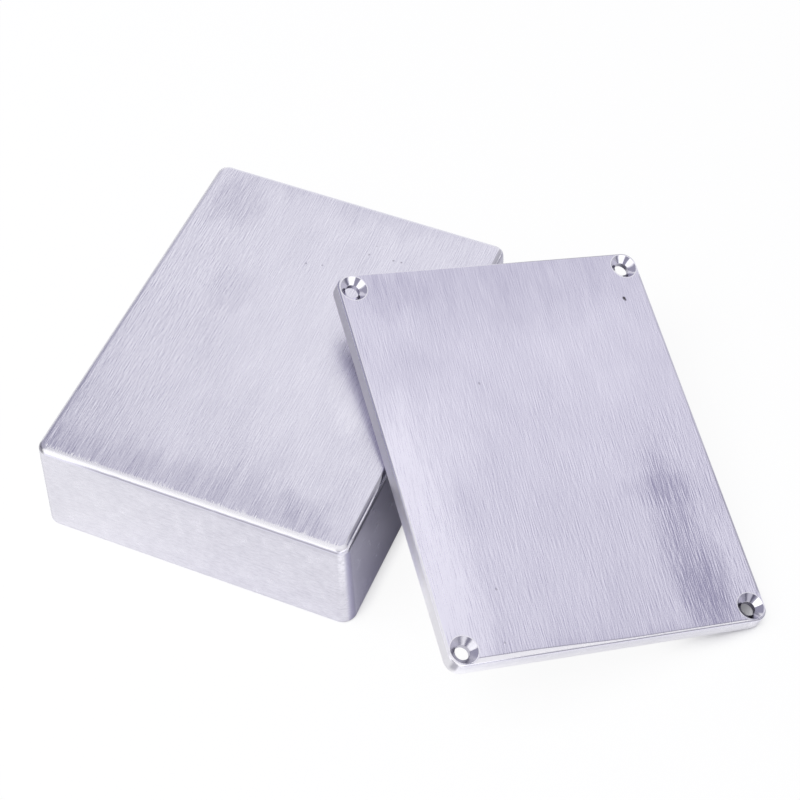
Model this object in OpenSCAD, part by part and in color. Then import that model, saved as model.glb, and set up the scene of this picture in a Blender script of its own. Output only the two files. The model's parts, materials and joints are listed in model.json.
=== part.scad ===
// Die-cast aluminium effects-pedal enclosure, bare metal, opened:
// the box stands on its open rim and the lid leans on the box's right-hand top edge.
// Frame: origin at the middle of the rim, X across the box, Y along it, Z up. Millimetres.

/* [Box] */
// Outer width of the box at its open rim
box_w = 94; // [70:0.5:160]
// Outer length of the box at its open rim
box_l = 119.5; // [90:0.5:220]
// Height of the box from the rim to the closed face
box_h = 32.5; // [20:0.5:70]
// Thickness of the walls at the rim
wall_t = 2.1; // [1.5:0.1:3]
// Thickness of the closed face
face_t = 2.3; // [1.5:0.1:5]
// Corner radius in plan, outside, at the closed face
corner_r = 3.2; // [2.4:0.1:8]
// Rounding of the edge round the closed face
face_edge_r = 1.9; // [0.5:0.1:2.8]
// Draft of the walls outside, in degrees
outer_draft = 1.5; // [0.5:0.1:3]
// Corner radius in plan, inside, at the closed face
core_corner_r = 2.6; // [2.2:0.1:5]
// Rounding inside, between the walls and the closed face
core_edge_r = 2; // [0.5:0.1:2.1]
// Draft of the walls and the screw posts inside, in degrees
core_draft = 2; // [0.5:0.1:3]

/* [Screw posts] */
// Distance of each screw axis from the two sides next to it
screw_inset = 4.6; // [4.4:0.1:7]
// Radius of a screw post at the rim
post_r = 4; // [3.5:0.1:6]
// Diameter of the tapped hole in a post
tap_d = 2.9; // [2:0.1:4]
// Depth of the full bore of the tapped hole
tap_depth = 14; // [6:0.5:16]
// Angle of the drill point at the end of the tapped hole, in degrees
drill_point = 118; // [90:1:140]

/* [Lid] */
// Height of the lid's edge, from the rim to the outer face
lid_t = 4.7; // [3.4:0.1:8]
// Thickness of the lid inside its border
plate_t = 2.5; // [1.5:0.1:3]
// Rounding of the edge round the lid's outer face
lid_edge_r = 0.7; // [0.4:0.1:2]
// Width of the tongue that drops inside the box walls
tongue_w = 1.6; // [1:0.1:3]
// Height of the tongue below the rim
tongue_h = 1.5; // [0.8:0.1:3]
// Clearance between the tongue and the box
tongue_gap = 0.4; // [0.2:0.05:0.8]
// Thickness of the lid at the screw holes, which are relieved from below
screw_t = 3.2; // [2.6:0.1:6]
// Diameter of the relief under a screw hole
relief_d = 6.6; // [5.2:0.1:7]
// Diameter of the screw holes
screw_d = 4.1; // [3:0.1:5]
// Diameter of the countersinks at the outer face
sink_d = 7.7; // [6:0.1:8.4]
// Full angle of the countersinks, in degrees
sink_angle = 90; // [80:1:100]

/* [Rest] */
// Turn of the lid in its own plane, in degrees
lid_turn = 39.7; // [20:0.1:70]
// Distance down the slope from the box's edge to the middle of the lid
lid_reach = 36.6; // [20:0.1:50]
// Place of the middle of the lid along the box
lid_shift = -0.9; // [-20:0.1:20]
// Clearance between the lid's tongue and the box's edge
lean_gap = 0.2; // [0.1:0.05:0.5]

/* [Hidden] */
$fn = 96;

// Bare cast aluminium under cool light
metal = [0.83, 0.82, 0.88];
// How far a cutting shape runs past the face that it cuts
past = 1;
// How far a rounding runs past the two faces that it joins, so that it crosses both
overrun = 0.0005;
// Places where the pieces of a block meet are whole thousandths
function snap(v) = round(v * 1000) / 1000;

// Radius in plan at the rim: the draft widens the corners from the closed face down
rim_r = corner_r + box_h * tan(outer_draft);
core_h = box_h - face_t;
core_rim_r = core_corner_r + core_h * tan(core_draft);

// The four screw axes
screw_x = box_w / 2 - screw_inset;
screw_y = box_l / 2 - screw_inset;
// Where the plain bore of a lid hole opens into its countersink
sink_h = (sink_d - screw_d) / 2 / tan(sink_angle / 2);
// How deep the relief under a lid hole is
relief_h = max(lid_t - screw_t, 0);

// Middle of the arc that rounds the top edge of a drafted section, from the corner's axis
function edge_middle(r, h, draft, edge_r) =
    [r - edge_r / cos(draft) - (h - edge_r) * tan(draft), h - edge_r];

// The lid lies on the rounding of the box's right-hand top edge and on its own lowest corner
lean_edge = [box_w / 2 - rim_r, 0] + edge_middle(rim_r, box_h, outer_draft, face_edge_r);
// From the middle of that rounding up to the lid's rim
lean_rise = face_edge_r + lean_gap + tongue_h;
// How far the lid's rim and its tongue reach down the slope from the middle of the lid
rim_reach = (box_w / 2 - rim_r) * cos(lid_turn) + (box_l / 2 - rim_r) * sin(lid_turn) + rim_r;
tongue_inset = wall_t + tongue_gap;
// A straight run of the tongue stops where it turns round a post
tongue_stop = screw_inset + sqrt(pow(post_r + tongue_gap, 2) - pow(screw_inset - tongue_inset, 2));
tongue_reach = max(
    (box_w / 2 - tongue_inset) * cos(lid_turn) + (box_l / 2 - tongue_stop) * sin(lid_turn),
    (box_w / 2 - tongue_stop) * cos(lid_turn) + (box_l / 2 - tongue_inset) * sin(lid_turn));
// Tilt at which a corner that lies this far down the slope, and this far above the rim plane
// of the lid's underside, meets the floor
function tilt_to_floor(reach, rise) =
    atan2(rise, lid_reach + reach) + asin(lean_edge[1] / norm([rise, lid_reach + reach]));
lid_tilt = min(tilt_to_floor(rim_reach, lean_rise), tilt_to_floor(tongue_reach, lean_rise - tongue_h));
lid_x = lean_edge[0] + lean_rise * sin(lid_tilt) + lid_reach * cos(lid_tilt);
lid_z = lean_edge[1] + lean_rise * cos(lid_tilt) - lid_reach * sin(lid_tilt);

// Half section of a drafted block with a rounded top edge, from the corner's axis outwards
module drafted_section(r, h, draft, edge_r, below) {
    middle = edge_middle(r, h, draft, edge_r);
    // The wedge between the two faces reaches well past the sharp corner that the rounding replaces
    wedge = 3 * edge_r;
    out = wedge * [cos(draft), sin(draft)];
    up = wedge * [0, 1];
    difference() {
        polygon([
            [0, -below], [r + below * tan(draft), -below], [r - h * tan(draft), h], [0, h]
        ]);
        difference() {
            polygon([middle, middle + out, middle + up]);
            translate(middle) circle(edge_r + overrun);
        }
    }
}

// Block with drafted sides, round corners and a rounded top edge: w, l and r are taken at z = 0
module drafted_block(w, l, h, r, draft, edge_r, below = 0) {
    axis = [snap(w / 2 - r), snap(l / 2 - r)];
    for (turn = [0:3]) {
        across = turn % 2;
        rotate(90 * turn)
            translate([axis[across], 0, 0]) {
                rotate([90, 0, 0])
                    linear_extrude(2 * axis[1 - across], center = true)
                        drafted_section(r, h, draft, edge_r, below);
                translate([0, axis[1 - across], 0])
                    rotate_extrude(angle = 90) drafted_section(r, h, draft, edge_r, below);
            }
    }
    translate([-axis[0], -axis[1], -below])
        cube([2 * axis[0], 2 * axis[1], h + below]);
}

module at_screws() {
    for (x = [-screw_x, screw_x], y = [-screw_y, screw_y])
        translate([x, y, 0]) children();
}

// What the core leaves open: the drafted cavity less the four tapered screw posts
module core() {
    // The posts start below the cavity's own end, so that they run right through it
    start = -2 * past;
    difference() {
        drafted_block(box_w - 2 * wall_t, box_l - 2 * wall_t, core_h, core_rim_r,
                      core_draft, core_edge_r, past);
        at_screws()
            translate([0, 0, start])
                cylinder(h = box_h - start, r1 = post_r + start * tan(core_draft),
                         r2 = post_r + box_h * tan(core_draft));
    }
}

// Blind hole for a lid screw, from the rim up into its post
module tapped_hole() {
    translate([0, 0, -past]) cylinder(h = past + tap_depth, d = tap_d);
    translate([0, 0, tap_depth])
        cylinder(h = tap_d / 2 / tan(drill_point / 2), d1 = tap_d, d2 = 0);
}

module enclosure_box() {
    color(metal)
        difference() {
            drafted_block(box_w, box_l, box_h, rim_r, outer_draft, face_edge_r);
            core();
            at_screws() tapped_hole();
        }
}

// Plan of the box's opening drawn in by a gap, which jogs round the screw posts
module opening_plan(gap) {
    difference() {
        square([box_w - 2 * (wall_t + gap), box_l - 2 * (wall_t + gap)], center = true);
        at_screws() circle(post_r + gap);
    }
}

// Screw hole with its countersink at the outer face and its relief at the rim
module countersunk_hole() {
    translate([0, 0, -past]) cylinder(h = lid_t + 2 * past, d = screw_d);
    translate([0, 0, -past]) cylinder(h = relief_h + past, d = relief_d);
    translate([0, 0, lid_t - sink_h])
        cylinder(h = sink_h + past, d1 = screw_d, d2 = sink_d + 2 * past * tan(sink_angle / 2));
}

// The lid in its own frame: rim at z = 0, outer face up
module lid_casting() {
    difference() {
        union() {
            drafted_block(box_w, box_l, lid_t, rim_r, outer_draft, lid_edge_r);
            translate([0, 0, -tongue_h])
                linear_extrude(tongue_h + lid_t - plate_t) opening_plan(tongue_gap);
        }
        translate([0, 0, -tongue_h - past])
            linear_extrude(tongue_h + past + lid_t - plate_t) opening_plan(tongue_gap + tongue_w);
        at_screws() countersunk_hole();
    }
}

module enclosure_lid() {
    color(metal)
        translate([lid_x, lid_shift, lid_z])
            rotate([0, lid_tilt, 0])
                rotate(lid_turn)
                    lid_casting();
}

enclosure_box();
enclosure_lid();
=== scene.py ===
# Bare die-cast pedal enclosure: hand-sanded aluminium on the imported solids, on a white table in soft light.
import json
import math

import bmesh
import bpy
from mathutils import Matrix, Vector


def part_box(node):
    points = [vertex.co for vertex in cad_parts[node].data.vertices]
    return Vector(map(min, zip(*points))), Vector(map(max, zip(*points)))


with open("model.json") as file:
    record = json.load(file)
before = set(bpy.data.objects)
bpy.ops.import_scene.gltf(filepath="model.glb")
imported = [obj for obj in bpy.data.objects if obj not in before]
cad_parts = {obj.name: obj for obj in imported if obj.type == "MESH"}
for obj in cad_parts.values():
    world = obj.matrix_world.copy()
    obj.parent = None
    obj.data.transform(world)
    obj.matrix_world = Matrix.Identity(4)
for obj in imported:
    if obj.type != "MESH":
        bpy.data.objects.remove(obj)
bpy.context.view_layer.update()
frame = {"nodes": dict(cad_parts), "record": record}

MM = 0.001

# Camera: the photograph's viewing angle, in degrees, millimetres and pixels of its frame
FRAME_PIXELS = 800
FOCAL_PIXELS = 2105.1
SENSOR = 36
AZIMUTH, ELEVATION, ROLL = 23.42, 51.35, -0.92
TARGET, DISTANCE = Vector((33.86, 6.94, 15)), 602.78

# Sizes of the castings in millimetres, as in the solids
DRAFT = math.tan(math.radians(1.5))
BOX_EDGE_R = 1.9
LID_T, LID_RELIEF, LID_EDGE_R = 4.7, 1.5, 0.7
SINK_R = 3.85
TAP_END = 15
box_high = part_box("enclosure_box")[1] / MM
HALF_W, HALF_L, BOX_H = box_high.x, box_high.y, box_high.z
mounts = {mount["name"]: mount for mount in frame["record"]["mounts"]}
post_screws = mounts["post_screws"]["dims"]
SCREW_X, SCREW_Y = post_screws["spacing_x_mm"] / 2, post_screws["spacing_y_mm"] / 2
TAP_R = post_screws["hole_r_mm"]
SCREW_R = mounts["lid_hole_low_left"]["dims"]["r_mm"]
# Threads drawn in the finish of the posts' holes, in millimetres
THREAD_PITCH, THREAD_PHASE = 0.6, 100.0

# Zones of a casting: the ends of a smooth step from 0 to 1, as parts of the normal or in millimetres
FACE_NZ, WALL_NZ, RIM_NZ = (0.93, 0.985), (0.22, 0.08), (-0.9, -0.97)
FRONT_NY = (-0.02, -0.12)
INSIDE_DEPTH = (1.1, 1.5)
RIM_TOP, RIM_FOOT = (0.2, 0.1), (-0.2, -0.1)

# Table: radius and drop below the rim in metres, and its grey
TABLE_RADIUS, TABLE_DROP, TABLE_GREY = 0.9, 0.0002, 0.93
# How far plain white stands in for the open table's own light, for the camera and for what metal mirrors
CAMERA_WHITE, MIRROR_WHITE = 0.94, 0.5
# Share of that white which is left close under the object
SHELTERED = 0.15
# How near something above shelters the table from that white, in metres, in the same two cases
CAMERA_SHELTER, MIRROR_SHELTER = 0.008, 0.06

# The tent's levels as metal sees them, and the levels that it lends to the table
TENT_BACK, TENT_FRONT, TENT_GAP = 0.96, 1.4, 0.38
FILL_BACK, FILL_FRONT = 0.34, 0.5
# Its lavender where it is dim
DIM_TINT = (0.80, 0.78, 1.0)
# Cards and gaps in the tent: azimuth, elevation, radius and softness in degrees, then level
TENT_CARDS = (
    (-96, 32, 33, 7, 0.46),
    (19, 34, 16, 4, 0.42),
    (104, 44, 14, 5, 0.45),
    (51, 18, 6, 3, 1.4),
    (116, 40, 16, 4, 0.35),
    (128, 10, 3.5, 1.5, 1.1),
)

# The finish of each casting. The seed sets its noise apart, and the lean is the slant of its sanding.
# The tone lies between the darkest and the lightest colour of the face; the wall has such a pair too.
# Patches of the sanded face: x, y and half sizes in millimetres, how much lighter, how much more scratched.
# Pits and specks in it: x, y and radius in millimetres, then how dark.
BOX_LOOK = {
    "seed": 3.0,
    "lean": -0.02,
    "tone": 0.72,
    "face": ((0.36, 0.345, 0.48), (0.92, 0.905, 1.0)),
    "wall": ((0.58, 0.57, 0.63), (0.79, 0.78, 0.83)),
    "edge_rough": 0.2,
    "patches": (
        (-34, 46, 10, 13, -0.20, 0.1),
        (-22, 14, 10, 10, -0.09, 0.0),
        (-48, -30, 10, 60, -0.10, 0.2),
        (-40, -50, 28, 28, -0.09, 0.0),
        (0, -62, 70, 20, -0.24, 0.0),
        (-47, -59, 17, 15, -0.10, 0.0),
        (32, -51, 10, 8, -0.16, 0.2),
        (6, 6, 30, 34, 0.05, -0.15),
        (20, -28, 20, 18, 0.03, 0.0),
        # Lighter inside the lid's reflected shade on the top: painted light
        (29, -8, 9, 16, 0.2, 0.0),
        (20, -42, 30, 16, -0.06, 0.0),
        (0, 63, 60, 13, -0.14, 0.0),
        (-48, 0, 36, 85, 0.0, 0.6),
        (-8, -62, 55, 48, 0.0, 0.15),
    ),
    "pits": (
        (10.1, 40.7, 0.24, 0.35),
        (17.6, 41.2, 0.26, 0.4),
        (20.0, 41.4, 0.26, 0.35),
        (10.9, 44.7, 0.2, 0.25),
        (-5.6, 30.6, 0.3, 0.3),
        (-0.9, 31.7, 0.26, 0.25),
    ),
}
LID_LOOK = {
    "seed": 41.0,
    "lean": 0.045,
    "tone": 0.67,
    "face": ((0.35, 0.331, 0.485), (0.895, 0.872, 1.0)),
    "wall": ((0.80, 0.79, 0.86), (0.95, 0.94, 0.98)),
    "edge_rough": 0.13,
    "patches": (
        (-30, 52, 14, 10, -0.09, 0.0),
        (0, 66, 70, 34, -0.17, -0.2),
        (-31, 26, 10, 12, -0.07, 0.0),
        (30, -34, 10, 36, -0.25, 0.4),
        (30, -50, 9, 12, -0.15, 0.2),
        (28, -17, 14, 6, -0.12, 0.0),
        (-49, -30, 20, 62, 0.37, 0.0),
        (-22, -42, 34, 26, 0.03, 0.0),
        (-32, 10, 16, 24, 0.10, 0.0),
        (44, -44, 6, 24, 0.14, 0.2),
        (8, -62, 50, 7, -0.12, 0.0),
        (18, 22, 18, 26, 0.04, 0.0),
        (0, -50, 75, 80, 0.0, 0.45),
        (40, -34, 26, 58, -0.04, 0.7),
    ),
    "pits": (
        (38.8, 44.3, 0.42, 1.0),
        (39.0, 43.7, 0.28, 0.8),
        (-14.6, 21.1, 0.3, 0.35),
        (-28.6, -40.0, 0.3, 0.35),
        (-30.9, -55.0, 0.26, 0.3),
    ),
}
# Half sizes of a pit in its radii, and the depth of the darkest in millimetres
PIT_HALF_X, PIT_HALF_Y, PIT_DEPTH = 1.5, 1.8, 0.2

# Colours of plain and worked metal; a pair runs from the darkest to the lightest
BRIGHT_EDGE = (0.80, 0.79, 0.87)
PIT_COLOUR = (0.10, 0.09, 0.11)
CAST_SKIN = ((0.52, 0.515, 0.56), (0.66, 0.655, 0.70))
GROUND_RIM = ((0.70, 0.69, 0.75), (0.88, 0.87, 0.92))
THREAD = ((0.34, 0.335, 0.37), (0.60, 0.59, 0.64))
TURNED_CONE = ((0.68, 0.665, 0.75), (0.92, 0.91, 0.96))
DRILLED_BORE = ((0.44, 0.43, 0.49), (0.60, 0.59, 0.65))
# Colours of the wear, and of the painted light and shade, on the box and on the lid
BOX_WEAR_AND_PAINTED_LIGHT = {
    "rubbed": (0.92, 0.91, 0.96),
    "rubbed_low_shade": (0.74, 0.73, 0.76),
    "line": (0.34, 0.33, 0.39),
    "shadow_below_line": (0.44, 0.43, 0.49),
    "right_edge_shade": (0.26, 0.25, 0.31),
    "left_edge_light": (0.98, 0.97, 0.98),
    "painted_left_foot": (0.34, 0.34, 0.35),
    "left_corner_shade": (0.24, 0.23, 0.27),
    "ridge_highlight": (0.93, 0.92, 0.97),
    "turned_and_shaded": (0.28, 0.27, 0.34),
    "light_wall": (0.88, 0.875, 0.88),
    "shade_tint_wall": (0.64, 0.61, 0.94),
    "shade_wall": (0.37, 0.36, 0.43),
}
LID_WEAR_AND_PAINTED_LIGHT = {
    "line": (0.34, 0.33, 0.40),
    "lip_highlight": (0.98, 0.97, 1.0),
    "dip_shade": (0.38, 0.37, 0.43),
    "low_side_light": (0.99, 0.985, 1.0),
    "left_side_light": (0.98, 0.98, 0.91),
    "left_end_shade": (0.64, 0.63, 0.69),
    "painted_left_foot": (1.0, 1.0, 1.0),
    "right_edge_shade": (0.28, 0.27, 0.34),
    "upper_edge_shade": (0.36, 0.35, 0.42),
    "corner": (0.38, 0.37, 0.42),
    "burr": (0.96, 0.95, 0.99),
    "low_left_cone_shade": (0.48, 0.47, 0.54),
    "low_right_cone_shade": (0.29, 0.28, 0.35),
    "high_sector_shade": (0.36, 0.35, 0.42),
}
# Painted reflection sectors, light and dark, of the two low countersinks: the direction that they face in
# plan, where a sector starts and where it is full, its share of the colour in the left one and in the right
# one, and the colour
LOW_SECTOR_REFLECTIONS = (
    ((0.93, -0.10), (0.7, 0.95), (0.6, 0.6), (0.54, 0.53, 0.58)),
    ((-0.79, 0.61), (0.5, 0.8), (0.8, 0.8), (0.84, 0.83, 0.90)),
    ((-0.30, -0.95), (0.91, 0.99), (0.7, 0.1), (0.60, 0.59, 0.65)),
    ((-0.93, -0.37), (0.86, 0.96), (0.35, 0.95), (0.93, 0.92, 0.97)),
)


class Graph:
    """Short calls for the nodes of one material or of the world."""

    def __init__(self, tree):
        self.tree = tree
        tree.nodes.clear()

    def feed(self, socket, value):
        if isinstance(value, bpy.types.NodeSocket):
            self.tree.links.new(value, socket)
        else:
            socket.default_value = value

    def add(self, kind, *values, **settings):
        """A node with its settings; the values feed its first sockets in order."""
        node = self.tree.nodes.new(kind)
        for name, value in settings.items():
            setattr(node, name, value)
        for socket, value in zip(node.inputs, values):
            self.feed(socket, value)
        return node

    def math(self, operation, *values):
        return self.add("ShaderNodeMath", *values, operation=operation).outputs[0]

    def chain(self, operation, values):
        result = values[0]
        for value in values[1:]:
            result = self.math(operation, result, value)
        return result

    def total(self, *values):
        return self.chain("ADD", values)

    def product(self, *values):
        return self.chain("MULTIPLY", values)

    def least(self, *values):
        return self.chain("MINIMUM", values)

    def most(self, *values):
        return self.chain("MAXIMUM", values)

    def less(self, value, taken):
        return self.math("SUBTRACT", value, taken)

    def rest(self, mask):
        """1 where a mask is 0."""
        return self.less(1.0, mask)

    def mixture(self, base, *parts):
        """A base, and parts that are added to it, each given with its weight."""
        return self.total(base, *(self.product(value, weight) for value, weight in parts))

    def clamp(self, value):
        return self.least(self.most(value, 0.0), 1.0)

    def step(self, value, low, high):
        """0 at low, 1 at high, smooth between them; low may be the larger."""
        ends = (low, high, 0.0, 1.0) if low < high else (high, low, 1.0, 0.0)
        return self.add("ShaderNodeMapRange", value, *ends, interpolation_type="SMOOTHSTEP").outputs[0]

    def window(self, value, first, second):
        """1 where two steps of one value are both 1, each given by its ends."""
        return self.product(self.step(value, *first), self.step(value, *second))

    def blend(self, factor, a, b):
        """Value a at factor 0 and value b at 1."""
        node = self.add("ShaderNodeMix", data_type="FLOAT")
        self.feed(node.inputs["Factor"], factor)
        self.feed(node.inputs["A"], a)
        self.feed(node.inputs["B"], b)
        return node.outputs["Result"]

    def tint(self, factor, a, b):
        """Colour a at factor 0 and colour b at 1."""
        node = self.add("ShaderNodeMix", data_type="RGBA")
        self.feed(node.inputs[0], factor)
        for socket, colour in zip(node.inputs[6:8], (a, b)):
            self.feed(socket, colour if isinstance(colour, bpy.types.NodeSocket) else (*colour, 1))
        return node.outputs[2]

    def split(self, vector):
        return self.add("ShaderNodeSeparateXYZ", vector).outputs[:3]

    def join(self, x, y, z):
        return self.add("ShaderNodeCombineXYZ", x, y, z).outputs[0]

    def noise(self, vector, scale, detail=2.0, roughness=0.5, distortion=0.0):
        node = self.add("ShaderNodeTexNoise")
        for name, value in (("Vector", vector), ("Scale", scale), ("Detail", detail),
                            ("Roughness", roughness), ("Distortion", distortion)):
            self.feed(node.inputs[name], value)
        return node.outputs[0]

    def spread(self, noise, gain=3.0):
        """Noise about 0, drawn apart by a gain and kept within 1 of 0."""
        value = self.product(self.less(noise, 0.5), gain)
        return self.most(self.least(value, 1.0), -1.0)


def new_material(name):
    material = bpy.data.materials.new(name)
    material.use_nodes = True
    return material, Graph(material.node_tree)


def lid_place():
    """The lid's own frame, from its four screw holes: the rim plane is z = 0 and the outer face is up."""
    holes = {name: mount for name, mount in mounts.items() if name.startswith("lid_hole_")}
    spots = {name: Vector(hole["pos_m"]) for name, hole in holes.items()}
    hole = holes["lid_hole_low_left"]
    z_axis = Vector(hole["axis"]).normalized()
    y_axis = (spots["lid_hole_high_left"] - spots["lid_hole_low_left"]).normalized()
    x_axis = y_axis.cross(z_axis)
    middle = sum(spots.values(), Vector()) / len(spots)
    place = Matrix((x_axis, y_axis, z_axis)).transposed().to_4x4()
    place.translation = middle - z_axis * (LID_RELIEF + hole["dims"]["length_mm"] / 2) * MM
    return place


class Casting:
    """Places, directions and zones of one casting, in its own frame and in millimetres, as node sockets."""

    def __init__(self, graph, place):
        g = self.graph = graph
        coordinates = g.add("ShaderNodeTexCoord")
        turn = place.to_euler("XYZ")
        self.point = self.mapped(coordinates.outputs["Object"], place.translation, turn, MM)
        self.x, self.y, self.z = g.split(self.point)
        normal = self.mapped(coordinates.outputs["Normal"], Vector(), turn, 1)
        self.nx, self.ny, self.nz = g.split(normal)
        self.face = g.step(self.nz, *FACE_NZ)
        self.wall = g.step(self.nz, *WALL_NZ)
        self.edge = g.rest(g.most(self.face, self.wall))
        screw_x = g.less(g.math("ABSOLUTE", self.x), SCREW_X)
        screw_y = g.less(g.math("ABSOLUTE", self.y), SCREW_Y)
        self.from_screw = g.math("SQRT", g.total(g.product(screw_x, screw_x), g.product(screw_y, screw_y)))

    def mapped(self, vector, location, turn, scale):
        node = self.graph.add("ShaderNodeMapping", vector_type="TEXTURE")
        self.graph.feed(node.inputs["Vector"], vector)
        node.inputs["Location"].default_value = location
        node.inputs["Rotation"].default_value = turn
        node.inputs["Scale"].default_value = (scale, scale, scale)
        return node.outputs[0]

    def skin(self, top):
        """Depth below the outer surface: 0 on the walls and the face, more inside."""
        g = self.graph
        rise = g.product(self.z, DRAFT)
        to_side = g.less(HALF_W, g.total(g.math("ABSOLUTE", self.x), rise))
        to_end = g.less(HALF_L, g.total(g.math("ABSOLUTE", self.y), rise))
        return g.least(to_side, to_end, g.less(top, self.z))

    def strokes(self, across, along, pitch, length, seed, detail=2.0):
        """Sanding strokes: noise drawn out along the stroke. Pitch and length in millimetres."""
        g = self.graph
        place = g.join(g.product(across, 1 / pitch), g.product(along, 1 / length), seed)
        return g.noise(place, 1.0, detail, roughness=0.6)

    def scratches(self, across, along, pitch, length, seed, gain):
        """Thin lines about 0: how the strokes differ from one side of a line to the other."""
        g = self.graph
        sides = [self.strokes(g.total(across, side), along, pitch, length, seed, detail=1.0)
                 for side in (0.4 * pitch, -0.4 * pitch)]
        return g.product(g.less(*sides), gain)

    def facing(self, x, y):
        """How nearly a 45 degree cone faces a direction in plan: 1 is straight at it."""
        g = self.graph
        return g.product(g.mixture(g.product(self.nx, x), (self.ny, y)), math.sqrt(2))

    def spot(self, x, y, half_x, half_y, drift_x=0.0, drift_y=0.0):
        """1 at a place on the face, falling to 0 at its half sizes; a drift makes its outline uneven."""
        g = self.graph
        away_x = g.product(g.less(g.total(self.x, drift_x), x), 1 / half_x)
        away_y = g.product(g.less(g.total(self.y, drift_y), y), 1 / half_y)
        return g.step(g.total(g.product(away_x, away_x), g.product(away_y, away_y)), 1.0, 0.0)


class Coat:
    """Colour, roughness and height in millimetres of a finish, built up in layers."""

    def __init__(self, graph, colour, rough, height):
        self.graph, self.colour, self.rough, self.height = graph, colour, rough, height

    def stain(self, mask, colour, share=1.0):
        """Another colour, or a share of it, where the mask is 1."""
        self.colour = self.graph.tint(self.graph.product(mask, share), self.colour, colour)

    def roughen(self, mask, rough):
        self.rough = self.graph.blend(mask, self.rough, rough)

    def raise_by(self, height):
        self.height = self.graph.total(self.height, height)

    def lay(self, mask, coat):
        """Another finish over this one, where the mask is 1."""
        self.stain(mask, coat.colour)
        self.roughen(mask, coat.rough)
        self.height = self.graph.blend(mask, self.height, coat.height)


def sanded_face(c, look):
    """Face sanded by hand, nearly along the casting: scratches, grit, mottling and patches."""
    g, seed = c.graph, look["seed"]
    across = g.mixture(c.x, (c.y, -look["lean"]))
    short = c.scratches(across, c.y, pitch=0.34, length=4.5, seed=seed, gain=3.0)
    long = c.scratches(across, c.y, pitch=0.40, length=12, seed=seed + 19.1, gain=2.9)
    grit = g.spread(g.noise(c.point, scale=3.4, detail=1.0))
    clouds = g.spread(g.noise(c.point, scale=0.03, detail=3.0, roughness=0.55, distortion=0.4))
    mottle = g.spread(c.strokes(across, c.y, pitch=8, length=17, seed=seed + 13.3, detail=3.0))
    tone = g.mixture(look["tone"], (clouds, 0.04), (mottle, 0.08))
    vigour = g.mixture(0.45, (g.noise(c.point, scale=0.05), 0.5))
    # Patches are streaked along the strokes, and their outlines wander by a few millimetres
    streaky = g.product(c.strokes(across, c.y, pitch=1.3, length=14, seed=seed + 7.7), 2.0)
    wander_x = c.strokes(across, c.y, pitch=6, length=15, seed=seed + 23.9, detail=3.0)
    wander_y = c.strokes(across, c.y, pitch=5, length=15, seed=seed + 29.3, detail=3.0)
    drift = g.product(g.spread(wander_x), 4.0), g.product(g.spread(wander_y), 7.0)
    for x, y, half_x, half_y, lighter, rougher in look["patches"]:
        spot = c.spot(x, y, half_x, half_y, *drift)
        tone = g.mixture(tone, (g.product(spot, streaky), lighter))
        vigour = g.mixture(vigour, (spot, rougher))
    grain = g.mixture(0.0, (short, 0.27), (long, 0.14), (grit, 0.18))
    colour = g.tint(g.clamp(g.mixture(tone, (grain, vigour))), *look["face"])
    rough = g.mixture(0.31, (short, 0.04), (clouds, 0.04))
    return Coat(g, colour, rough, height=g.product(short, 0.006))


def rubbed_wall(c, look):
    """Wall of the casting, rubbed smoother: faint level streaks, blotches and scuffs."""
    g, seed = c.graph, look["seed"]
    along = g.total(c.x, c.y)
    streaks = g.spread(c.strokes(c.z, along, pitch=1.2, length=20, seed=seed + 31))
    blotches = g.spread(g.noise(c.point, scale=0.2, detail=4.0, roughness=0.6))
    scuffs = g.spread(c.strokes(c.z, along, pitch=0.7, length=2.2, seed=seed + 37, detail=3.0))
    tone = g.mixture(0.5, (streaks, 0.10), (blotches, 0.3), (scuffs, 0.45))
    rough = g.mixture(0.25, (blotches, 0.04), (scuffs, 0.03))
    height = g.mixture(0.0, (streaks, 0.003), (blotches, 0.012), (scuffs, 0.004))
    return Coat(g, g.tint(g.clamp(tone), *look["wall"]), rough, height)


def cast_inside(c):
    """Skin of the casting as it left the die."""
    g = c.graph
    peel = g.noise(c.point, scale=1.4, detail=3.0, roughness=0.6)
    rough = g.mixture(0.46, (peel, 0.16))
    return Coat(g, g.tint(peel, *CAST_SKIN), rough, height=g.product(peel, 0.05))


def linished_rim(c, seed):
    """Rim ground flat on a belt, across the casting."""
    g = c.graph
    scratches = g.spread(c.strokes(c.y, c.x, pitch=0.25, length=15, seed=seed + 83), gain=4.0)
    colour = g.tint(g.mixture(0.5, (scratches, 0.4)), *GROUND_RIM)
    return Coat(g, colour, rough=0.28, height=g.product(scratches, 0.006))


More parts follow.
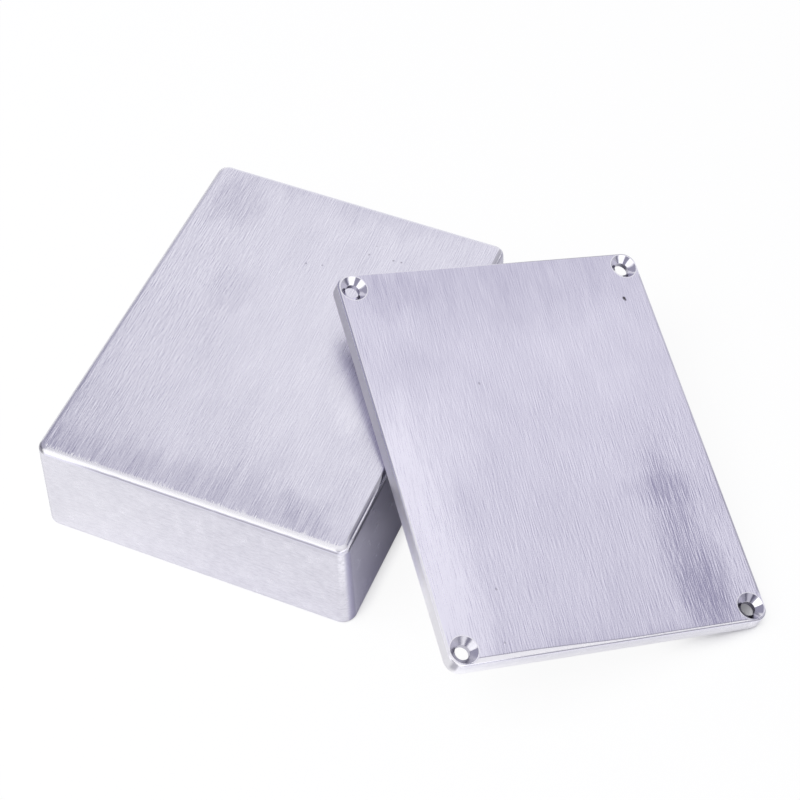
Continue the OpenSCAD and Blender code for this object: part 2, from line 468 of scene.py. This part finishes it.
def wear_and_shade_front_edge(c, coat, front, to_front, seed):
    """Front edge of the box, rubbed bright across the grain and ragged and darker down its rounding as
    painted shade, with a dark line at its foot, a fine crease darkened with painted shade, and a painted
    shadow below.
    """
    g = c.graph
    comb = g.spread(c.strokes(c.x, c.y, pitch=0.4, length=2.6, seed=seed + 53, detail=3.0), gain=2.6)
    ends = g.most(g.step(c.x, -20.0, -36.0), g.product(g.step(c.x, 34.0, 43.0), 0.7))
    places = g.most(ends, g.step(g.noise(c.point, scale=0.11), 0.2, 0.8))
    reach = g.product(g.most(comb, 0.0), places, 3.6)
    bristles = g.product(g.step(g.less(reach, to_front), 0.0, 0.3), g.step(to_front, 3.0, 2.0))
    bristles = g.product(bristles, g.step(c.nz, 0.9, 0.97))
    rounding = g.product(g.window(c.nz, (0.999, 0.985), (0.64, 0.78)), front)
    worn = g.most(bristles, rounding)
    # Rubbed bright metal, darker where the rounding turns down: that darkening is painted shade
    coat.stain(worn, g.tint(g.step(c.nz, 0.95, 0.75), BOX_WEAR_AND_PAINTED_LIGHT["rubbed"], BOX_WEAR_AND_PAINTED_LIGHT["rubbed_low_shade"]))
    coat.roughen(worn, g.mixture(0.26, (g.step(c.nx, 0.02, 0.15), 0.3)))
    # The dark line, a crease darkened with painted shade, lies low on the rounding and wavers, with a painted
    # soft shadow below it
    waver = g.product(g.spread(g.noise(c.point, scale=0.35, detail=3.0), gain=2.0), 0.12)
    below = g.less(BOX_H - 0.55 * BOX_EDGE_R, g.total(c.z, waver))
    broken = g.step(g.noise(c.point, scale=0.09), 0.25, 0.45)
    drawn = g.product(broken, front, g.step(c.x, -38.0, -24.0), g.step(c.nx, 0.5, 0.15))
    line = g.window(below, (-0.5, -0.05), (0.42, 0.12))
    coat.stain(g.product(line, drawn), BOX_WEAR_AND_PAINTED_LIGHT["line"], share=0.9)
    shadow_below_line = g.window(below, (0.0, 0.3), (3.2, 0.5))
    coat.stain(g.product(shadow_below_line, drawn), BOX_WEAR_AND_PAINTED_LIGHT["shadow_below_line"], share=0.3)


def shade_side_edges(c, coat, to_front):
    """Painted shade on the right edge of the box but for one thin broken line, and painted light on the left
    edge, with painted shade at its foot and front corner.
    """
    g = c.graph
    broken = g.step(g.noise(c.point, scale=0.3), 0.3, 0.6)
    glint = g.product(g.window(c.nz, (0.62, 0.68), (0.80, 0.74)), broken)
    past_right = g.less(c.x, HALF_W - BOX_H * DRAFT - BOX_EDGE_R)
    right_edge_shade = g.product(g.step(past_right, 0.1, 0.5), g.step(c.z, BOX_H - 2.2, BOX_H - 1.4))
    # Painted dark reflection on the right rounding, faded out at the front end and lighter towards the back
    edge_shade_fade = g.product(g.step(to_front, 0.0, 5.0), g.blend(g.step(c.y, -40.0, -28.0), 0.85, 0.6))
    coat.stain(g.product(right_edge_shade, edge_shade_fade, g.rest(glint)), BOX_WEAR_AND_PAINTED_LIGHT["right_edge_shade"])
    # Painted light on the left edge, painted shade at its foot and at its front corner
    left_edge_light = g.step(c.nx, -0.06, -0.18)
    coat.stain(g.product(left_edge_light, c.edge), BOX_WEAR_AND_PAINTED_LIGHT["left_edge_light"], share=0.7)
    foot = g.window(c.nz, (0.86, 0.66), (0.1, 0.3))
    coat.stain(g.product(left_edge_light, foot), BOX_WEAR_AND_PAINTED_LIGHT["painted_left_foot"], share=0.75)
    corner = g.product(g.step(c.nx, -0.15, -0.4), g.step(c.ny, -0.02, -0.2))
    corner = g.product(corner, g.window(c.nz, (0.92, 0.8), (0.2, 0.4)))
    coat.stain(corner, BOX_WEAR_AND_PAINTED_LIGHT["left_corner_shade"], share=0.75)


def shade_walls(c, coat, front):
    """Painted light and shade on the walls of the box and its upright edges in front."""
    g = c.graph
    # The upright edges have a painted highlight ridge on the right, and painted shade towards each side wall
    forward = g.product(g.step(c.ny, -0.02, -0.2), c.wall)
    ridge_highlight = g.product(g.window(c.nx, (0.15, 0.42), (0.88, 0.6)), forward, g.step(c.z, 9.0, 28.0))
    broken = g.step(g.noise(c.point, scale=0.8, detail=3.0), 0.2, 0.7)
    coat.stain(g.product(ridge_highlight, broken), BOX_WEAR_AND_PAINTED_LIGHT["ridge_highlight"])
    turned_and_shaded = g.most(g.step(c.nx, 0.66, 0.96), g.product(g.step(c.nx, -0.35, -0.75), 0.8))
    coat.stain(g.product(turned_and_shaded, forward), BOX_WEAR_AND_PAINTED_LIGHT["turned_and_shaded"], share=0.9)
    # The front wall is lighter towards the left, and the right wall has painted shade, lavender and darker
    # towards the back
    lighter_left = g.product(g.step(c.x, 20.0, -44.0), front, c.wall)
    coat.stain(lighter_left, BOX_WEAR_AND_PAINTED_LIGHT["light_wall"], share=0.25)
    aside = g.product(g.step(c.nx, 0.6, 0.95), c.wall)
    coat.stain(aside, BOX_WEAR_AND_PAINTED_LIGHT["shade_tint_wall"], share=0.25)
    coat.stain(g.product(aside, g.step(c.y, -52.0, -20.0)), BOX_WEAR_AND_PAINTED_LIGHT["shade_wall"], share=0.68)


def wear_and_shade_box(c, coat, seed):
    """Wear, and painted light and shade, on the box's edges and walls."""
    g = c.graph
    front = g.step(c.ny, *FRONT_NY)
    to_front = g.total(c.y, HALF_L - BOX_H * DRAFT - BOX_EDGE_R)
    wear_and_shade_front_edge(c, coat, front, to_front, seed)
    shade_side_edges(c, coat, to_front)
    shade_walls(c, coat, front)


def shade_low_edge(c, coat):
    """Low edge of the lid: a dark line, a painted highlight past it, a painted dark reflection on the
    rounding below, and painted light on the side towards the rim.
    """
    g = c.graph
    to_low = g.total(c.y, HALF_L - LID_T * DRAFT - LID_EDGE_R)
    zone = g.product(g.step(c.nz, 0.8, 0.95), g.step(c.from_screw, SINK_R + 0.2, SINK_R + 0.6))
    past_line = g.less(to_low, g.mixture(0.05, (g.step(c.x, 10.0, -28.0), 0.9)))
    line = g.window(past_line, (-0.15, 0.0), (0.28, 0.12))
    coat.stain(g.product(line, zone), LID_WEAR_AND_PAINTED_LIGHT["line"], share=0.7)
    # Painted highlight along the edge
    lip_highlight = g.product(g.step(past_line, 0.0, -0.15), zone)
    coat.stain(lip_highlight, LID_WEAR_AND_PAINTED_LIGHT["lip_highlight"])
    coat.roughen(lip_highlight, 0.7)
    # Painted dark reflection on the rounding
    dip_shade = g.product(g.step(c.ny, -0.1, -0.25), g.window(c.nz, (0.93, 0.86), (0.5, 0.7)))
    coat.stain(g.product(dip_shade, g.step(c.x, -38.0, -24.0)), LID_WEAR_AND_PAINTED_LIGHT["dip_shade"])
    # Painted light on the low side, growing towards the rim
    low_side_light = g.product(c.wall, g.step(c.ny, -0.5, -0.8))
    coat.stain(g.product(low_side_light, g.step(c.z, 3.6, 0.8)), LID_WEAR_AND_PAINTED_LIGHT["low_side_light"], share=0.8)


def wear_and_shade_left_side(c, coat):
    """Left side of the lid: painted light, with painted shade towards its low end and more painted light at
    its foot; its edge rubbed bright towards the low corner, partly a painted highlight.
    """
    g = c.graph
    side = g.product(c.wall, g.step(c.nx, -0.5, -0.8))
    coat.roughen(side, 0.42)
    coat.stain(side, LID_WEAR_AND_PAINTED_LIGHT["left_side_light"], share=0.8)
    coat.stain(g.product(side, g.step(c.y, -26.0, -46.0)), LID_WEAR_AND_PAINTED_LIGHT["left_end_shade"], share=0.55)
    foot = g.product(g.window(c.y, (14.0, -2.0), (-45.0, -34.0)), g.step(c.z, 4.6, 0.6))
    coat.stain(g.product(side, foot), LID_WEAR_AND_PAINTED_LIGHT["painted_left_foot"])
    rubbed = g.product(c.edge, g.step(c.nx, -0.1, -0.3), g.step(c.y, 12.0, -30.0))
    coat.stain(rubbed, LID_WEAR_AND_PAINTED_LIGHT["lip_highlight"])
    coat.roughen(rubbed, 0.55)


def shade_right_and_upper_edges(c, coat):
    """Painted shade on the right and upper edges of the lid, and a painted dark reflection on its low left
    corner.
    """
    g = c.graph
    to_right = g.less(HALF_W - LID_T * DRAFT - LID_EDGE_R, c.x)
    dark_edge = g.product(g.step(to_right, 0.3, 0.1), g.step(c.nz, 0.1, 0.3), g.step(c.from_screw, 4.6, 5.6))
    coat.stain(g.product(dark_edge, g.blend(g.step(c.y, 20.0, -40.0), 0.35, 0.6)), LID_WEAR_AND_PAINTED_LIGHT["right_edge_shade"])
    upper = g.product(c.edge, g.step(c.ny, 0.12, 0.3), g.blend(g.step(c.x, -5.0, 15.0), 0.1, 0.95))
    coat.stain(upper, LID_WEAR_AND_PAINTED_LIGHT["upper_edge_shade"])
    # Painted dark reflection on the low left corner
    corner = g.product(g.window(c.nx, (-0.92, -0.76), (-0.44, -0.6)), g.step(c.ny, -0.2, -0.4))
    corner = g.product(corner, g.step(c.z, 0.2, 2.2), g.rest(c.face))
    coat.stain(corner, LID_WEAR_AND_PAINTED_LIGHT["corner"], share=0.8)


def turn_and_shade_countersinks(c, coat, seed):
    """Countersinks with burrs and plain bores, cut bright on a lathe; painted shade and painted reflection
    sectors, light and dark, on the low ones, and a painted dark sector on the high ones.
    """
    g = c.graph
    sink = g.product(g.step(c.from_screw, SINK_R + 0.02, SINK_R - 0.02), g.step(c.nz, 0.97, 0.9))
    burr = g.product(g.step(c.from_screw, SINK_R + 0.4, SINK_R + 0.1), c.face)
    coat.stain(burr, LID_WEAR_AND_PAINTED_LIGHT["burr"], share=0.6)
    rings = g.spread(g.noise(g.join(g.product(c.from_screw, 9.0), seed, 0.0), 1.0))
    tone = g.mixture(0.5, (rings, 0.3))
    turned_and_shaded = Coat(g, g.tint(tone, *TURNED_CONE), rough=0.1, height=g.product(rings, 0.002))
    low = g.step(c.y, 20.0, -20.0)
    right = g.step(c.x, -10.0, 10.0)
    # Painted shade on the two low cones
    low_cone_shade = g.tint(right, LID_WEAR_AND_PAINTED_LIGHT["low_left_cone_shade"], LID_WEAR_AND_PAINTED_LIGHT["low_right_cone_shade"])
    turned_and_shaded.stain(low, low_cone_shade, share=0.95)
    for towards, ends, shares, colour in LOW_SECTOR_REFLECTIONS:
        sector = g.step(c.facing(*towards), *ends)
        turned_and_shaded.stain(g.product(low, sector), colour, share=g.blend(right, *shares))
    # Painted dark reflection sector on the two high cones
    high_sector_shade = g.step(c.facing(0.79, -0.61), 0.70, 0.92)
    turned_and_shaded.stain(g.product(g.rest(low), high_sector_shade), LID_WEAR_AND_PAINTED_LIGHT["high_sector_shade"], share=0.7)
    turned_and_shaded.roughen(low, g.blend(right, 0.2, 0.12))
    coat.lay(sink, turned_and_shaded)
    drilled = Coat(g, g.tint(tone, *DRILLED_BORE), rough=0.3, height=g.product(rings, 0.01))
    coat.lay(g.step(c.from_screw, SCREW_R + 0.12, SCREW_R + 0.06), drilled)


def wear_and_shade_lid(c, coat, seed):
    """Wear, and painted light and shade, on the lid's edges, then the countersinks that cut into them."""
    shade_low_edge(c, coat)
    wear_and_shade_left_side(c, coat)
    shade_right_and_upper_edges(c, coat)
    turn_and_shade_countersinks(c, coat, seed)


def tap_holes(c, coat):
    """Threads in the screw posts."""
    g = c.graph
    thread = g.math("PINGPONG", g.total(c.z, THREAD_PHASE), THREAD_PITCH / 2)
    hole = g.product(g.step(c.from_screw, TAP_R + 0.12, TAP_R + 0.06), g.step(c.z, TAP_END + 1, TAP_END))
    colour = g.tint(g.product(thread, 3.0), *THREAD)
    coat.lay(hole, Coat(g, colour, rough=0.3, height=g.product(thread, 0.6)))


def metal_material(name, place, top, look):
    """Bare cast aluminium: sanded face, rubbed walls, bright edges, ground rim and as-cast inside."""
    material, g = new_material(name)
    c = Casting(g, place)
    seed = look["seed"]
    coat = rubbed_wall(c, look)
    coat.lay(c.face, sanded_face(c, look))
    coat.lay(c.edge, Coat(g, BRIGHT_EDGE, look["edge_rough"], height=0.0))
    for x, y, radius, dark in look["pits"]:
        pit = g.product(c.spot(x, y, radius * PIT_HALF_X, radius * PIT_HALF_Y), c.face)
        coat.stain(g.step(pit, 0.2, 0.8), PIT_COLOUR, share=dark)
        coat.raise_by(g.product(pit, -PIT_DEPTH * dark))
    inside = g.step(c.skin(top), *INSIDE_DEPTH)
    if look is BOX_LOOK:
        wear_and_shade_box(c, coat, seed)
    else:
        inside = g.product(inside, g.step(c.from_screw, SINK_R, SINK_R + 0.05))
        wear_and_shade_lid(c, coat, seed)
    coat.lay(inside, cast_inside(c))
    rim = g.product(g.step(c.nz, *RIM_NZ), g.window(c.z, RIM_TOP, RIM_FOOT))
    coat.lay(rim, linished_rim(c, seed))
    if look is BOX_LOOK:
        tap_holes(c, coat)

    bump = g.add("ShaderNodeBump")
    bump.inputs["Strength"].default_value = 1.0
    bump.inputs["Distance"].default_value = MM
    g.feed(bump.inputs["Height"], coat.height)
    shader = g.add("ShaderNodeBsdfPrincipled")
    shader.inputs["Metallic"].default_value = 1.0
    g.feed(shader.inputs["Base Color"], coat.colour)
    g.feed(shader.inputs["Roughness"], coat.rough)
    g.feed(shader.inputs["Normal"], bump.outputs[0])
    g.add("ShaderNodeOutputMaterial", shader.outputs[0])
    return material


def dress(node, material):
    """Give a CAD node its finish."""
    part = frame["nodes"][node]
    part.data.materials.clear()
    part.data.materials.append(material)


def mirrored_rays(g, path):
    """1 for rays that a surface mirrors or lets through."""
    return g.most(path["Is Glossy Ray"], path["Is Transmission Ray"])


def make_floor():
    """A round white table under the object."""
    mesh = bpy.data.meshes.new("floor")
    disc = bmesh.new()
    bmesh.ops.create_circle(disc, cap_ends=True, segments=96, radius=TABLE_RADIUS)
    disc.to_mesh(mesh)
    disc.free()
    floor = bpy.data.objects.new("floor", mesh)
    floor.location = (TARGET.x * MM, TARGET.y * MM, -TABLE_DROP)
    bpy.context.scene.collection.objects.link(floor)
    material, g = new_material("white_table")
    path = g.add("ShaderNodeLightPath").outputs
    table = g.add("ShaderNodeBsdfDiffuse")
    table.inputs["Color"].default_value = (TABLE_GREY, TABLE_GREY, TABLE_GREY, 1)
    white = g.add("ShaderNodeEmission")

    def in_the_open(reach):
        """1 where nothing stands over the table within this reach, down to 0 close under something."""
        shelter = g.add("ShaderNodeAmbientOcclusion", samples=8)
        shelter.inputs["Distance"].default_value = reach
        return g.step(shelter.outputs["AO"], 0.25, 0.75)

    open_white = g.blend(in_the_open(CAMERA_SHELTER), SHELTERED, 1.0)
    seen = g.product(path["Is Camera Ray"], CAMERA_WHITE, open_white)
    mirrored = g.product(mirrored_rays(g, path), MIRROR_WHITE, in_the_open(MIRROR_SHELTER))
    mixed = g.add("ShaderNodeMixShader", g.most(seen, mirrored), table.outputs[0], white.outputs[0])
    g.add("ShaderNodeOutputMaterial", mixed.outputs[0])
    mesh.materials.append(material)


def aim(azimuth, elevation):
    """Unit vector from the object towards a direction round it, in degrees, as for the camera."""
    turn, lift = math.radians(azimuth), math.radians(elevation)
    return Vector((math.sin(turn) * math.cos(lift), -math.cos(turn) * math.cos(lift), math.sin(lift)))


def make_world():
    """A soft white tent. Metal sees its bright front, gaps and cards; the camera sees plain white."""
    world = bpy.data.worlds.new("studio")
    bpy.context.scene.world = world
    world.use_nodes = True
    g = Graph(world.node_tree)
    direction = g.add("ShaderNodeTexCoord").outputs["Generated"]
    x, y, z = g.split(direction)
    low_front = g.product(g.step(y, 0.3, -0.3), g.step(z, 0.88, 0.72))
    tent = g.blend(low_front, TENT_BACK, TENT_FRONT)
    side_gaps = g.product(g.step(g.math("ABSOLUTE", x), 0.5, 0.7), g.step(z, 0.2, 0.04))
    tent = g.blend(side_gaps, tent, TENT_GAP)
    for azimuth, elevation, radius, soft, level in TENT_CARDS:
        towards = aim(azimuth, elevation)
        dot = g.add("ShaderNodeVectorMath", direction, towards, operation="DOT_PRODUCT")
        inner, outer = (math.cos(math.radians(radius + side * soft)) for side in (-1, 1))
        tent = g.blend(g.step(dot.outputs["Value"], outer, inner), tent, level)
    path = g.add("ShaderNodeLightPath").outputs
    fill = g.blend(g.step(y, 0.4, -0.4), FILL_BACK, FILL_FRONT)
    strength = g.blend(mirrored_rays(g, path), fill, tent)
    white = g.most(g.step(strength, 0.3, 1.0), path["Is Camera Ray"])
    background = g.add("ShaderNodeBackground")
    g.feed(background.inputs["Color"], g.tint(white, DIM_TINT, (1, 1, 1)))
    g.feed(background.inputs["Strength"], g.blend(path["Is Camera Ray"], strength, 1.0))
    g.add("ShaderNodeOutputWorld", background.outputs[0])


def add_softbox(name, azimuth, elevation, distance, size, power):
    """A square lamp that faces the object, in metres and watts; what metal mirrors of it is in the tent."""
    lamp = bpy.data.lights.new(name, "AREA")
    lamp.shape = "RECTANGLE"
    lamp.size = lamp.size_y = size
    lamp.energy = power
    softbox = bpy.data.objects.new(name, lamp)
    back = aim(azimuth, elevation)
    softbox.location = TARGET * MM + back * distance
    softbox.rotation_euler = back.to_track_quat("Z", "Y").to_euler()
    softbox.visible_camera = False
    softbox.visible_glossy = False
    bpy.context.scene.collection.objects.link(softbox)


def make_camera():
    """The photograph's own view."""
    turn, roll = math.radians(AZIMUTH), math.radians(ROLL)
    back = aim(AZIMUTH, ELEVATION)
    level = Vector((math.cos(turn), math.sin(turn), 0))
    right = math.cos(roll) * level + math.sin(roll) * back.cross(level)
    data = bpy.data.cameras.new("camera")
    data.sensor_width = SENSOR
    data.lens = SENSOR * FOCAL_PIXELS / FRAME_PIXELS
    data.clip_start, data.clip_end = 0.01, 20
    camera = bpy.data.objects.new("camera", data)
    place = Matrix((right, back.cross(right), back)).transposed().to_4x4()
    place.translation = (TARGET + back * DISTANCE) * MM
    camera.matrix_world = place
    bpy.context.scene.collection.objects.link(camera)
    bpy.context.scene.camera = camera


bpy.context.scene.view_settings.view_transform = "Standard"
make_camera()
make_floor()
make_world()
add_softbox("key_softbox", azimuth=-50, elevation=56, distance=1.2, size=0.9, power=14)
dress("enclosure_box", metal_material("box_metal", Matrix.Identity(4), BOX_H, BOX_LOOK))
dress("enclosure_lid", metal_material("lid_metal", lid_place(), LID_T, LID_LOOK))
